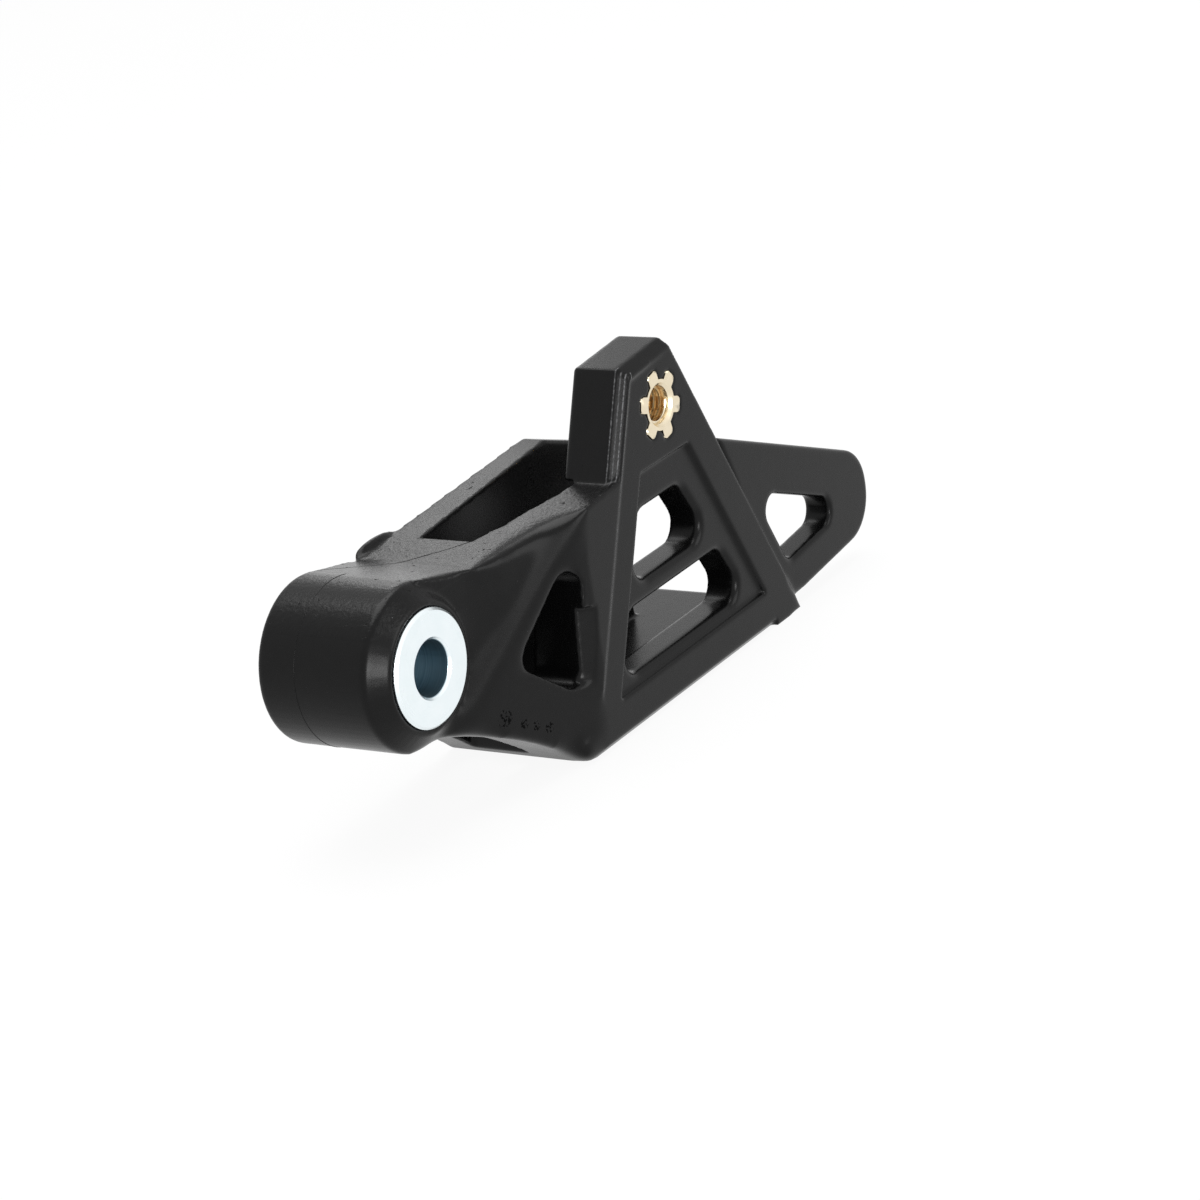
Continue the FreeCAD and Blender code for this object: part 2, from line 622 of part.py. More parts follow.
# Brass insert: the star with a threaded hole, left at its core size, and a countersunk mouth.
thread_hole = doc.addObject("Part::Cylinder", "ThreadHole")
mouth = doc.addObject("Part::Cone", "ThreadMouth")
MOUTH_DEPTH = "(Size.insert_mouth - Size.insert_bore) / 2"
thread_hole.setExpression("Radius", "Size.insert_bore / 2")
thread_hole.setExpression("Height", "Size.tab_wall")
mouth.setExpression("Radius1", "Size.insert_mouth / 2")
mouth.setExpression("Radius2", "Size.insert_bore / 2")
mouth.setExpression("Height", MOUTH_DEPTH)
for cutter in (thread_hole, mouth):
    cutter.Placement = Placement(Vector(), Rotation(Vector(1, 0, 0), -90))
    cutter.setExpression("Placement.Base.x", INSERT_X)
    cutter.setExpression("Placement.Base.y", FACE)
    cutter.setExpression("Placement.Base.z", INSERT_Z)
insert = cut("Insert", star("InsertStar", "0"), fused("ThreadCut", [thread_hole, mouth]))
insert.Label = "threaded_insert"

# Steel bush: a turned sleeve with broken edges, a little longer than the boss.
bush = doc.addObject("PartDesign::Body", "Bush")
bush.Label = "steel_bush"
bush_section = bush.newObject("Sketcher::SketchObject", "BushSection")
bush_planes = {feature.Role: feature for feature in bush.Origin.OriginFeatures}
bush_section.AttachmentSupport = (bush_planes["XY_Plane"], [""])
bush_section.MapMode = "FlatFace"
closed(bush_section, [
    ("Size.bush_bore / 2", "-Size.bush_length / 2"), ("Size.bush_outer / 2", "-Size.bush_length / 2"),
    ("Size.bush_outer / 2", "Size.bush_length / 2"), ("Size.bush_bore / 2", "Size.bush_length / 2")])
bush_turned = bush.newObject("PartDesign::Revolution", "BushTurned")
bush_turned.Profile = bush_section
bush_turned.ReferenceAxis = (bush_section, ["V_Axis"])
doc.recompute()
bush_edges = bush.newObject("PartDesign::Chamfer", "BushEdges")
bush_rings = [number for number, edge in enumerate(bush_turned.Shape.Edges, start=1) if edge.Closed]
bush_edges.Base = (bush_turned, ["Edge%d" % number for number in bush_rings])
bush_edges.setExpression("Size", "Size.bush_edge")
doc.recompute()

NODES = (guide, bush, insert)
for thing in doc.Objects:
    if "Invalid" in thing.State or "Error" in thing.State:
        raise RuntimeError("%s failed: %s" % (thing.Name, thing.State))
for node in NODES:
    if node.Shape.isNull() or not node.Shape.isValid() or len(node.Shape.Solids) != 1:
        raise RuntimeError("%s is not one sound solid" % node.Label)

os.makedirs("parts", exist_ok=True)
for node in NODES:
    node.Shape.exportStep("parts/%s.step" % node.Label)
    print("%s: %.1f cubic mm" % (node.Label, node.Shape.Volume))
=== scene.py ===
# %% [markdown]
# # A moulded chain guide
# The object is a black plastic guide that keeps a drive chain in line. A steel bush sits in its
# round boss and a brass insert in its tab. The solids come from the frame, at their real size in
# metres, so this lesson gives them soft moulded edges, a thread and the finish of each surface.

# %% Load the frame
import json
import math

import bpy
from mathutils import Matrix, Vector


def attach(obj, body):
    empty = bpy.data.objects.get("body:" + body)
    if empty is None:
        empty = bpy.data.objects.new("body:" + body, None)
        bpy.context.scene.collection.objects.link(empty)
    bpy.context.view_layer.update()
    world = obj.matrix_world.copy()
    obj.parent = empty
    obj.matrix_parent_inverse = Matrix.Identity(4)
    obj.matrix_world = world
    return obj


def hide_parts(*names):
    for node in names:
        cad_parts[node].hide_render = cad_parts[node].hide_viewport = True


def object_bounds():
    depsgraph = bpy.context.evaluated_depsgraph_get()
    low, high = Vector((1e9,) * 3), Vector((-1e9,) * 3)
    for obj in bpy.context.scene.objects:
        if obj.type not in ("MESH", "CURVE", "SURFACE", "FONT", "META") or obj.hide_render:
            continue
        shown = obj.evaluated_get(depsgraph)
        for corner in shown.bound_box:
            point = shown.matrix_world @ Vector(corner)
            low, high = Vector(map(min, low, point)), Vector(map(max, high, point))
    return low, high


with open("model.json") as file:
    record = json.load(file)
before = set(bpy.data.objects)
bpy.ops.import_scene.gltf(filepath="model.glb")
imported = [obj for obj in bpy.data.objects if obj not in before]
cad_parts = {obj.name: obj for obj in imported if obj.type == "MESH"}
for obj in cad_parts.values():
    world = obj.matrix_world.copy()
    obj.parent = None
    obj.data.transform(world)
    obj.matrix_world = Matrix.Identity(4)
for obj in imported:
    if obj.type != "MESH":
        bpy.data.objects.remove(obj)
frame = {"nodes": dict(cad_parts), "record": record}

CAD_BOX = [list(corner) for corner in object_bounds()]
MM = 0.001
print("frame", sorted(frame["nodes"]), "box", CAD_BOX)

# %% [markdown]
# ## Camera
# The camera was fitted to the photograph from the round end of the bush and from edges that run
# straight. It looks down along the guide from the boss's end and is rolled a little. A long lens
# keeps the far end nearly as large as the near one.

# %% Camera
CAMERA_AT = Vector((-377.9, -306.7, 181.4)) * MM
LOOK = Vector((0.769, 0.539, -0.343)).normalized()
RIGHT = Vector((0.524, -0.839, -0.144)).normalized()
LENS = 108.0
SENSOR = 36.0

camera_data = bpy.data.cameras.new("camera")
camera_data.lens = LENS
camera_data.sensor_width = SENSOR
camera = bpy.data.objects.new("camera", camera_data)
bpy.context.scene.collection.objects.link(camera)
turn = Matrix((RIGHT, RIGHT.cross(LOOK), -LOOK)).transposed()
camera.matrix_world = Matrix.Translation(CAMERA_AT) @ turn.to_4x4()
bpy.context.scene.camera = camera
print("camera", [round(value, 3) for value in CAMERA_AT])

# %% [markdown]
# ## Shader maths
# A finish is a sum of small patterns. Writing that sum as plain Python is easier to read than
# wiring nodes by hand, so one small class stands for a wire. Its operators add Math nodes, and its
# one method adds any other node.


# %% Wires
class Wire:
    """An output socket. Python's operators on it add Math nodes."""

    def __init__(self, socket):
        self.socket = socket

    def node(self, kind, settings=None, sockets=None, out=0):
        """Add a node: its settings first, then the values or links of its sockets."""
        tree = self.socket.id_data
        made = tree.nodes.new(kind)
        for name, setting in (settings or {}).items():
            setattr(made, name, setting)
        for name, value in (sockets or {}).items():
            if isinstance(value, Wire):
                tree.links.new(value.socket, made.inputs[name])
            else:
                made.inputs[name].default_value = value
        return Wire(made.outputs[out])

    def math(self, operation, *values):
        return self.node("ShaderNodeMath", {"operation": operation}, dict(enumerate(values)))

    def clamped(self):
        return self.node("ShaderNodeMath", {"operation": "ADD", "use_clamp": True}, {0: self, 1: 0.0})

    def root(self):
        return self.math("SQRT", self)

    def __add__(self, other):
        return self.math("ADD", self, other)

    def __radd__(self, other):
        return self.math("ADD", other, self)

    def __sub__(self, other):
        return self.math("SUBTRACT", self, other)

    def __rsub__(self, other):
        return self.math("SUBTRACT", other, self)

    def __mul__(self, other):
        return self.math("MULTIPLY", self, other)

    def __rmul__(self, other):
        return self.math("MULTIPLY", other, self)

    def __truediv__(self, other):
        return self.math("DIVIDE", self, other)

    def __rtruediv__(self, other):
        return self.math("DIVIDE", other, self)

    def __gt__(self, other):
        return self.math("GREATER_THAN", self, other)

    def __lt__(self, other):
        return self.math("LESS_THAN", self, other)

    def __abs__(self):
        return self.math("ABSOLUTE", self)


print("wires ready")


# %% [markdown]
# ## Stage
# The guide stands alone on white. The world is white to the camera and in reflections, and dimmer
# as a light, so black plastic stays black. The floor is white paper that keeps a faint shadow.

# %% Stage
FLOOR_SIZE = 3.0
FLOOR_WHITE = 0.9
FLOOR_GLOW = 0.92
SKY_LIGHT = 0.55


def seen_directly(tree):
    """1 for rays that show the background itself: from the camera, a mirror or glass."""
    path = tree.nodes.new("ShaderNodeLightPath")
    camera_ray, glossy, through = [Wire(path.outputs[name]) for name in (
        "Is Camera Ray", "Is Glossy Ray", "Is Transmission Ray")]
    return (camera_ray + glossy + through).clamped()


world = bpy.data.worlds.new("white_studio")
world.use_nodes = True
bpy.context.scene.world = world
backdrop = world.node_tree.nodes["Background"]
backdrop.inputs["Color"].default_value = (1, 1, 1, 1)
shown = seen_directly(world.node_tree)
sky = shown + (1 - shown) * SKY_LIGHT
world.node_tree.links.new(sky.socket, backdrop.inputs["Strength"])

bpy.ops.object.select_all(action="DESELECT")
bpy.ops.mesh.primitive_plane_add(size=FLOOR_SIZE, location=(0, 0, CAD_BOX[0][2]))
floor = bpy.context.object
floor.name = "floor"
paper = bpy.data.materials.new("white_paper")
paper.use_nodes = True
floor.data.materials.append(paper)
paper_tree = paper.node_tree
paper_tree.nodes.clear()
paper_out = paper_tree.nodes.new("ShaderNodeOutputMaterial")
looking = seen_directly(paper_tree)
paper_white = (FLOOR_WHITE, FLOOR_WHITE, FLOOR_WHITE, 1)
white = looking.node("ShaderNodeBsdfDiffuse", None, {"Color": paper_white})
glow = looking.node("ShaderNodeEmission", None, {"Color": (1, 1, 1, 1), "Strength": 1.0})
surface = looking.node("ShaderNodeMixShader", None, {0: looking * FLOOR_GLOW, 1: white, 2: glow})
paper_tree.links.new(surface.socket, paper_out.inputs["Surface"])

bpy.context.scene.view_settings.view_transform = "Standard"
print("stage", FLOOR_SIZE, "m floor")

# %% [markdown]
# ## Lamps
# A satin black shows little but the lamps that it mirrors, so each lamp has a surface to draw. One is
# overhead and one on the near side. A strip draws the boss's cone, a low one behind draws the boss's
# top, and a small card close by draws the neck.

# %% Lamps
# Each lamp's place from the middle of the part and its width, in metres, and its watts.
LAMPS = {
    "overhead": ((0.1, 0.1, 0.8), 0.7, 6.0),
    "near_side": ((0.2, -0.8, 0.3), 0.5, 2.0),
    "boss_strip": ((-0.40, -0.63, 0.08), 0.22, 2.0),
    "horizon": ((0.76, 0.49, 0.04), 0.3, 0.2),
}
NECK = Vector((15.0, 0.0, 10.3)) * MM
NECK_SHINE = Vector((0.70, 0.54, 0.467))
CARD_AWAY = 0.25
CARD_WIDTH = 0.045
CARD_WATTS = 0.025


def softbox(name, place, towards, width, watts):
    """A square area lamp that faces a point."""
    lamp_data = bpy.data.lights.new(name, "AREA")
    lamp_data.size = width
    lamp_data.energy = watts
    lamp = bpy.data.objects.new(name, lamp_data)
    facing = (towards - place).to_track_quat("-Z", "Y").to_matrix().to_4x4()
    lamp.matrix_world = Matrix.Translation(place) @ facing
    bpy.context.scene.collection.objects.link(lamp)


MIDDLE = (Vector(CAD_BOX[0]) + Vector(CAD_BOX[1])) / 2
for name, (place, width, watts) in LAMPS.items():
    softbox(name, MIDDLE + Vector(place), MIDDLE, width, watts)
softbox("neck_card", NECK + NECK_SHINE * CARD_AWAY, NECK, CARD_WIDTH, CARD_WATTS)
print("lamps", len(LAMPS) + 1)

# %% [markdown]
# ## Patterns
# Every finish reads its place on the object in millimetres, so a pattern keeps its real size. A few
# helpers give the patterns that several finishes share: noise, a thin line and scattered specks.


# %% Pattern helpers
# Places of the colour sockets on a Mix node.
MIX_LOW = 6
MIX_HIGH = 7
MIX_COLOUR = 2
BUMP_STEP = 0.02 * MM
COOL = 1.03


def finish(name):
    """A new material, with its shader, and its Object coordinates in millimetres."""
    material = bpy.data.materials.new(name)
    material.use_nodes = True
    tree = material.node_tree
    shader = tree.nodes["Principled BSDF"]
    place = Wire(tree.nodes.new("ShaderNodeTexCoord").outputs["Object"])
    scale = {"operation": "SCALE"}
    millimetres = place.node("ShaderNodeVectorMath", scale, {0: place, "Scale": 1 / MM})
    return material, shader, millimetres


def feed(shader, socket, wire):
    shader.id_data.links.new(wire.socket, shader.inputs[socket])


def axes(place):
    """X, Y and Z of a place, each as a wire."""
    split = place.node("ShaderNodeSeparateXYZ", None, {0: place}).socket.node
    return [Wire(socket) for socket in split.outputs]


def noise(place, size, detail=2.0):
    """A noise whose bumps are about a size across, in millimetres."""
    sockets = {"Vector": place, "Scale": 1 / size, "Detail": detail}
    return place.node("ShaderNodeTexNoise", None, sockets)


def line(value, centre, half):
    """A soft line: 1 where a value is at a centre, and 0 from a half width away."""
    return (1 - abs(value - centre) / half).clamped()


def above(value, level, width):
    """A soft step: 0 below a level, and 1 from a width above it."""
    return ((value - level) / width).clamped()


def mixed(factor, low, high):
    """A colour between two colours."""
    sockets = {"Factor": factor, MIX_LOW: low, MIX_HIGH: high}
    return factor.node("ShaderNodeMix", {"data_type": "RGBA"}, sockets, out=MIX_COLOUR)


def specks(place, spacing, size, kept):
    """Scattered round specks: a few of the cells of a Voronoi pattern have one."""
    cells = place.node("ShaderNodeTexVoronoi", None, {"Vector": place, "Scale": 1 / spacing})
    chance = Wire(cells.socket.node.outputs["Color"])
    return (cells < size / spacing) * (chance > 1 - kept)


def spot(place, centre, reach):
    """A soft round spot: 1 at its centre, and 0 from a reach away."""
    distance = {"operation": "DISTANCE"}
    apart = place.node("ShaderNodeVectorMath", distance, {0: place, 1: centre}, out=1)
    return (1 - apart / reach).clamped()


def bumped(shader, strength, height):
    """Feed a shader's Normal with the bumps of a height."""
    sockets = {"Strength": strength, "Distance": BUMP_STEP, "Height": height}
    feed(shader, "Normal", height.node("ShaderNodeBump", None, sockets))


def grey(level):
    """A grey with a touch of blue."""
    return (level, level, level * COOL, 1)


def mount_of(name):
    """A mount of the frame's record."""
    return next(entry for entry in frame["record"]["mounts"] if entry["name"] == name)


print("pattern helpers ready")


# %% [markdown]
# ## Black plastic
# The body is moulded in black plastic with a satin skin. The skin has a very fine grain and a slow
# waviness that breaks up the highlights. Three noises of different size make it.

# %% Skin
plastic, plastic_shader, at = finish("black_plastic")
plastic_shader.inputs["IOR"].default_value = 1.5
plastic_shader.inputs["Specular IOR Level"].default_value = 0.16
x, y, z = axes(at)
grain = noise(at, 0.22, 3.0)
waves = noise(at, 5.0, 2.0)
mottle = noise(at, 1.6, 4.0)
print("skin of three noises")

# %% [markdown]
# ## Seam, and flash lines with painted highlights
# A parting seam crosses the neck's top, and thin broken lines of flash run down the front corner of
# the tab, where the parts of the mould met. The flash lines are also painted highlights: they are
# painted lighter for the shine of the tab's small rounded front edges. Each is a soft line round a
# plane: across the neck for the seam, and along the tab's leaning front edge for the flash.

# %% Seam, and flash lines with painted highlights
SEAM_FROM = Vector((5.0, 8.6))
SEAM_TO = Vector((21.8, -5.5))
SEAM_HALF = 0.16
SEAM_SWAY = 1.2
SEAM_FLOOR = 9.0
SEAM_REAR = 22.0
TAB_LEAN = 0.45
FRONT_ROWS = (-15.95, -16.6)
FRONT_LEAN = 37.5
FRONT_FLOOR = 12.5
BEVEL_ROW = -17.1
BEVEL_LEAN = 38.4
LAND_LEAN = 39.6
LAND_FROM = -17.2
FLASH_FLOOR = -10.0

seam_way = (SEAM_TO - SEAM_FROM).normalized()
sway = (noise(at, 4.0) - 0.5) * SEAM_SWAY
off_seam = (x - SEAM_FROM.x) * seam_way.y - (y - SEAM_FROM.y) * seam_way.x + sway
seam = line(off_seam, 0.0, SEAM_HALF) * above(z, SEAM_FLOOR, 0.6) * (x < SEAM_REAR)

lean = x - TAB_LEAN * z
broken = 0.35 + 0.65 * above(noise(at, 0.5, 3.0), 0.47, 0.08)
# Painted highlights: these lines along the tab's front edge and rim are made lighter grey below, for
# the shine of small rounded edges, and they also carry a raised flash bump.
front_pair = (line(y, FRONT_ROWS[0], 0.13) + line(y, FRONT_ROWS[1], 0.13)).clamped()
front_lines = front_pair * line(lean, FRONT_LEAN, 0.9) * (z > FRONT_FLOOR)
bevel_line = line(y, BEVEL_ROW, 0.12) * line(lean, BEVEL_LEAN, 0.6)
land_line = line(lean, LAND_LEAN, 0.14) * (y < LAND_FROM)
flash_and_highlight = (front_lines + bevel_line + land_line).clamped() * broken * above(z, FLASH_FLOOR, 3.0)
print("one seam and", len(FRONT_ROWS) + 2, "flash lines")

# %% [markdown]
# ## Wear
# Handling has scuffed and nicked the flat tops, dust clings beside the eye, and a few gouges are torn
# in the toe. Noises that pass a level make the nicks and the torn edges, and specks make the dust.

# %% Wear
WALL_RISE = 0.084
TOPS_FROM = 8.6
TOPS_REAR = 44.0
DUSTY = (21.5, -15.1, 2.0)
DUSTY_REACH = 5.0
# Each gouge's middle and reach.
GOUGES = [
    ((12.5, -13.1, -12.9), 1.6),
    ((15.9, -13.8, -15.2), 0.9),
    ((18.1, -14.3, -16.3), 0.9),
    ((20.5, -14.8, -17.6), 1.0),
]
tops = above(z - WALL_RISE * x, TOPS_FROM, 0.3) * (x < TOPS_REAR)
scuffs = noise(at, 0.7, 3.0) * tops
nicks = above(noise(at, 1.1, 3.0), 0.68, 0.05) * tops
close_dust = specks(at, 1.1, 0.09, 0.3) * spot(at, DUSTY, DUSTY_REACH)
dust = (specks(at, 2.4, 0.07, 0.1) + close_dust).clamped()
gouged = spot(at, *GOUGES[0])
for middle, reach in GOUGES[1:]:
    gouged = gouged + spot(at, middle, reach)
gouges = gouged.clamped() * above(noise(at, 0.45, 2.0), 0.5, 0.06)
print("wear with", len(GOUGES), "gouges")

# %% [markdown]
# ## Plastic shader
# The marks change the skin: flash and dust are greyer, the flash lines as painted highlights, all of
# them are rougher, and nicks, gouges and the seam are sunk. The deepest get painted shade: a dull
# black is mixed in, as the shade in their hollows would be.

# %% Plastic shader
BLACK = grey(0.002)
MOTTLED = grey(0.004)
DUST_AND_HIGHLIGHT_GREY = grey(0.22)
PIT_SHADE_SHARE = 0.85

# Dust is a real grey; the lighter grey of the flash lines is a painted highlight.
dust_and_highlight = (flash_and_highlight * 0.8 + dust * 0.6).clamped()
feed(plastic_shader, "Base Color", mixed(dust_and_highlight, mixed(mottle, BLACK, MOTTLED), DUST_AND_HIGHLIGHT_GREY))
satin = 0.2 + waves * 0.06 + grain * 0.08
marks_rough = nicks * 0.4 + gouges * 0.5 + seam * 0.4 + flash_and_highlight * 0.2
feed(plastic_shader, "Roughness", (satin + marks_rough).clamped())
raised = grain + waves * 4.0 + scuffs * 9.0 + flash_and_highlight * 6.0
sunk = nicks * 8.0 + gouges * 30.0 + seam * 14.0
bumped(plastic_shader, 0.3, raised - sunk)
# Painted shade: a dull black in the gouges, the seam and the nicks, for the shade in their hollows.
pit_shade = (gouges * 4.0 + seam + nicks * 0.3).clamped()
shade_black = at.node("ShaderNodeBsdfDiffuse", None, {"Color": BLACK})
skin = Wire(plastic_shader.outputs[0])
marked_and_shaded = at.node("ShaderNodeMixShader", None, {0: pit_shade * PIT_SHADE_SHARE, 1: skin, 2: shade_black})
feed(plastic.node_tree.nodes["Material Output"], "Surface", marked_and_shaded)
print("black plastic", len(plastic.node_tree.nodes), "nodes")

# %% [markdown]
# ## Working on copies
# The solids of the frame stay as they are, so a piece that needs more starts as a copy of one. A few
# helpers copy a solid, select one piece alone, join pieces, cut one by another, and let a finished
# piece stand for its solid.

# %% Helpers for pieces
WELD = 0.002 * MM


def only(piece):
    """Select one piece alone and make it the active one."""
    bpy.ops.object.select_all(action="DESELECT")
    piece.select_set(True)
    bpy.context.view_layer.objects.active = piece


def copy_of(node_name, name):
    """A copy of a solid whose loose triangles are merged, in edit mode with all of it selected."""
    only(frame["nodes"][node_name])
    bpy.ops.object.duplicate()
    copy = bpy.context.object
    copy.name = name
    bpy.ops.object.mode_set(mode="EDIT")
    bpy.ops.mesh.select_all(action="SELECT")
    bpy.ops.mesh.remove_doubles(threshold=WELD)
    return copy


def select_where(piece, wanted):
    """Select the vertices that a test wants, and stay in edit mode."""
    bpy.ops.mesh.select_all(action="DESELECT")
    bpy.ops.object.mode_set(mode="OBJECT")
    for vertex in piece.data.vertices:
        vertex.select = wanted(vertex.co)
    bpy.ops.object.mode_set(mode="EDIT")
    bpy.ops.mesh.select_mode(type="VERT")


def apply_all(piece):
    """Apply every modifier of the active piece, from the first."""
    for modifier in list(piece.modifiers):
        bpy.ops.object.modifier_apply(modifier=modifier.name)


def join_to(piece, extra):
    """Join one more object to a piece."""
    only(piece)
    extra.select_set(True)
    bpy.ops.object.join()


def cut_by(piece, cutter):
    """Cut a piece by another, which is then removed."""
    only(piece)
    cut = piece.modifiers.new("cut", "BOOLEAN")
    cut.operation = "DIFFERENCE"
    cut.solver = "EXACT"
    cut.object = cutter
    apply_all(piece)
    bpy.data.objects.remove(cutter)
    print(piece.name, len(piece.data.polygons), "faces after a cut")


def settle(piece, material, node_name):
    """Give a piece its finish, and let it stand for a solid of the frame."""
    piece.data.materials.clear()
    piece.data.materials.append(material)
    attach(piece, "root")
    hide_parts(node_name)
    triangles = sum(len(face.vertices) - 2 for face in piece.data.polygons)
    print(piece.name, triangles, "triangles")


print("piece helpers ready")

# %% [markdown]
# ## Tab rim
# A low rim runs round the tab's face and fades out at its rear end. The solid's rim ends in a step, so
# the vertices at that end of the copy are moved in by the rim's height.

# %% Tab rim
RIM_END = Vector((60.0, -17.4, 24.0)) * MM
RIM_FADE = 0.4 * MM


def at_rim_end(place):
    return place.x > RIM_END.x and place.y < RIM_END.y and place.z > RIM_END.z


body = copy_of("guide_body", "soft_body")
select_where(body, at_rim_end)
bpy.ops.transform.translate(value=(0, RIM_FADE, 0))
bpy.ops.object.mode_set(mode="OBJECT")
print("body copy", len(body.data.vertices), "vertices")

# %% [markdown]
# ## Swelling
# The far wall has a low swelling on its upper edge, beside the neck. It is a flattened sphere that
# reaches into the wall, and the remesh below makes it one with the body.

# %% Swelling
SWELL_AT = Vector((18.5, 10.0, 10.3)) * MM
SWELL_SIZE = Vector((5.2, 0.9, 1.35)) * MM
bpy.ops.object.select_all(action="DESELECT")
bpy.ops.mesh.primitive_uv_sphere_add(
    segments=32, ring_count=16, radius=1, location=SWELL_AT, scale=SWELL_SIZE)
swell = bpy.context.object
bpy.ops.object.transform_apply(location=True, rotation=True, scale=True)
join_to(body, swell)
print("swelling joined")

# %% [markdown]
# ## Sloped edge of the eye
# The rear edge of the small three-cornered window is cut back to a slope. A box with one face on that
# slope does the cut. It leans as the edge does.

# %% Sloped edge of the eye
SLOPE_AT = Vector((30.85, -16.45, -8.4)) * MM
SLOPE_UP = Vector((0.17, 0.0, 1.0)).normalized()
SLOPE_OUT = Vector((-0.58, -0.81, 0.0))
SLOPE_BOX = Vector((6.0, 6.0, 11.6)) * MM
slope_out = (SLOPE_OUT - SLOPE_UP * SLOPE_OUT.dot(SLOPE_UP)).normalized()
slope_turn = Matrix((slope_out, SLOPE_UP.cross(slope_out), SLOPE_UP)).transposed().to_4x4()
slope_shift = Matrix.Translation(SLOPE_AT + slope_out * SLOPE_BOX.x / 2)
bpy.ops.object.select_all(action="DESELECT")
bpy.ops.mesh.primitive_cube_add(size=1)
slope_box = bpy.context.object
slope_box.matrix_world = slope_shift @ slope_turn @ Matrix.Diagonal(SLOPE_BOX.to_4d())
bpy.ops.object.transform_apply(location=True, rotation=True, scale=True)
cut_by(body, slope_box)

# %% [markdown]
# ## Moulded skin
# The solid has the guide's true shapes, but its edges are as sharp as a drawing. A moulding has none
# that are sharp. A voxel remesh turns the copy into one even skin, and a few passes of smoothing
# then round every edge by about half a millimetre, inner corners too.

# %% Moulded skin
SKIN_GRID = 0.3 * MM
SMOOTH_SHARE = 0.5
SOFTEN_PASSES = 4
remesh = body.modifiers.new("moulded_skin", "REMESH")
remesh.mode = "VOXEL"
remesh.voxel_size = SKIN_GRID
soften = body.modifiers.new("soft_edges", "SMOOTH")
soften.factor = SMOOTH_SHARE
soften.iterations = SOFTEN_PASSES
apply_all(body)
print("skin", len(body.data.vertices), "vertices")

# %% [markdown]
# ## Blends
# In places the moulding flows from one form into the next more widely than an edge does. There the
# skin is smoothed many more times, along a line and with less effect away from it. The boss's seat
# for the bush is kept out of it. The skin then needs fewer faces.

# %% Blends
# Each blend's two ends and its reach, in millimetres, and its passes.
BLENDS = {
    "toe_valley": ((26.0, -15.5, 10.5), (4.0, -11.0, -11.5), 9.0, 300),
    "neck_edge": ((3.0, -5.0, 12.0), (9.0, -7.8, 11.0), 3.5, 80),
    "neck_dip": ((13.5, -4.5, 10.1), (13.5, 6.5, 10.1), 4.0, 120),
    "sill_corner": ((25.5, -16.4, -23.5), (28.5, -17.0, -21.0), 5.0, 150),
    "eye_corner": ((29.4, -16.6, -14.6), (29.0, -16.4, -15.6), 3.0, 30),
    "rib_foot": ((91.0, -17.0, -24.0), (91.0, -17.0, -22.0), 4.0, 30),
}
SEAT_KEPT = 10.0
KEPT_FACES = 0.3


def off_line(place, start, stop):
    """How far a place is from the line between two ends."""
    way = stop - start
    along = max(0.0, min(1.0, (place - start).dot(way) / way.length_squared))
    return (place - start.lerp(stop, along)).length


for name, (first, last, reach, passes) in BLENDS.items():
    start = Vector(first)
    stop = Vector(last)
    far = reach + (stop - start).length / 2
    group = body.vertex_groups.new(name=name)
    for vertex in body.data.vertices:
        place = vertex.co / MM
        if (place - (start + stop) / 2).length > far:
            continue
        apart = off_line(place, start, stop)
        if apart < reach and math.hypot(place.x, place.z) > SEAT_KEPT:
            group.add([vertex.index], min(1.0, 2 - 2 * apart / reach), "REPLACE")
    blend = body.modifiers.new(name, "SMOOTH")
    blend.vertex_group = name
    blend.factor = SMOOTH_SHARE
    blend.iterations = passes
thin = body.modifiers.new("fewer_faces", "DECIMATE")
thin.ratio = KEPT_FACES
apply_all(body)
bpy.ops.object.shade_smooth()
body.vertex_groups.clear()
print("blends", len(BLENDS), "leave", len(body.data.polygons), "faces")

# %% [markdown]
# ## Seat of the insert
# The plastic was moulded round the brass star and shows a thin dark line about it. The smoothing has
# dulled that seat, so a copy of the star, a little larger, cuts it crisply again.

# %% Seat of the insert
SEAT_ROOM = 1.025
SEAT_THROUGH = 1.3
thread_mount = mount_of("tab_thread")
seat = copy_of("threaded_insert", "seat")
seat_growth = (SEAT_ROOM, SEAT_THROUGH, SEAT_ROOM)
bpy.ops.transform.resize(value=seat_growth, center_override=thread_mount["pos_m"])
bpy.ops.object.mode_set(mode="OBJECT")
cut_by(body, seat)

# %% [markdown]
# ## Parting flash
# The two halves of the mould met on a plane across the boss, and left a hair-thin ridge round it. A
# torus as thin as the ridge, set on the boss and joined to the body, catches the light as it does.

# %% Parting flash
FLASH_AT = 4.0 * MM
BOSS_RADIUS = 12.6 * MM
FLASH_RADIUS = 0.07 * MM
FLASH_SUNK = 0.02 * MM
QUARTER = math.pi / 2
bpy.ops.object.select_all(action="DESELECT")
bpy.ops.mesh.primitive_torus_add(
    major_radius=BOSS_RADIUS - FLASH_SUNK, minor_radius=FLASH_RADIUS, major_segments=160,
    minor_segments=6, location=(0, FLASH_AT, 0), rotation=(QUARTER, 0, 0))
ridge = bpy.context.object
bpy.ops.object.transform_apply(location=True, rotation=True, scale=True)
bpy.ops.object.shade_smooth()
join_to(body, ridge)
settle(body, plastic, "guide_body")

# %% [markdown]
# ## Zinc-plated steel
# The bush is turned from steel and plated with bright zinc, which is pale with a touch of blue. The
# turning leaves fine rings on its end and in its bore. One stretched noise makes both: it changes
# with the radius on the end and with the depth in the bore. The bore is duller, and its colour is
# painted darker as the shade inside the hole.

# %% Steel
ZINC_DULL = (0.80, 0.88, 0.90, 1)
ZINC_BRIGHT = (0.90, 0.95, 0.97, 1)
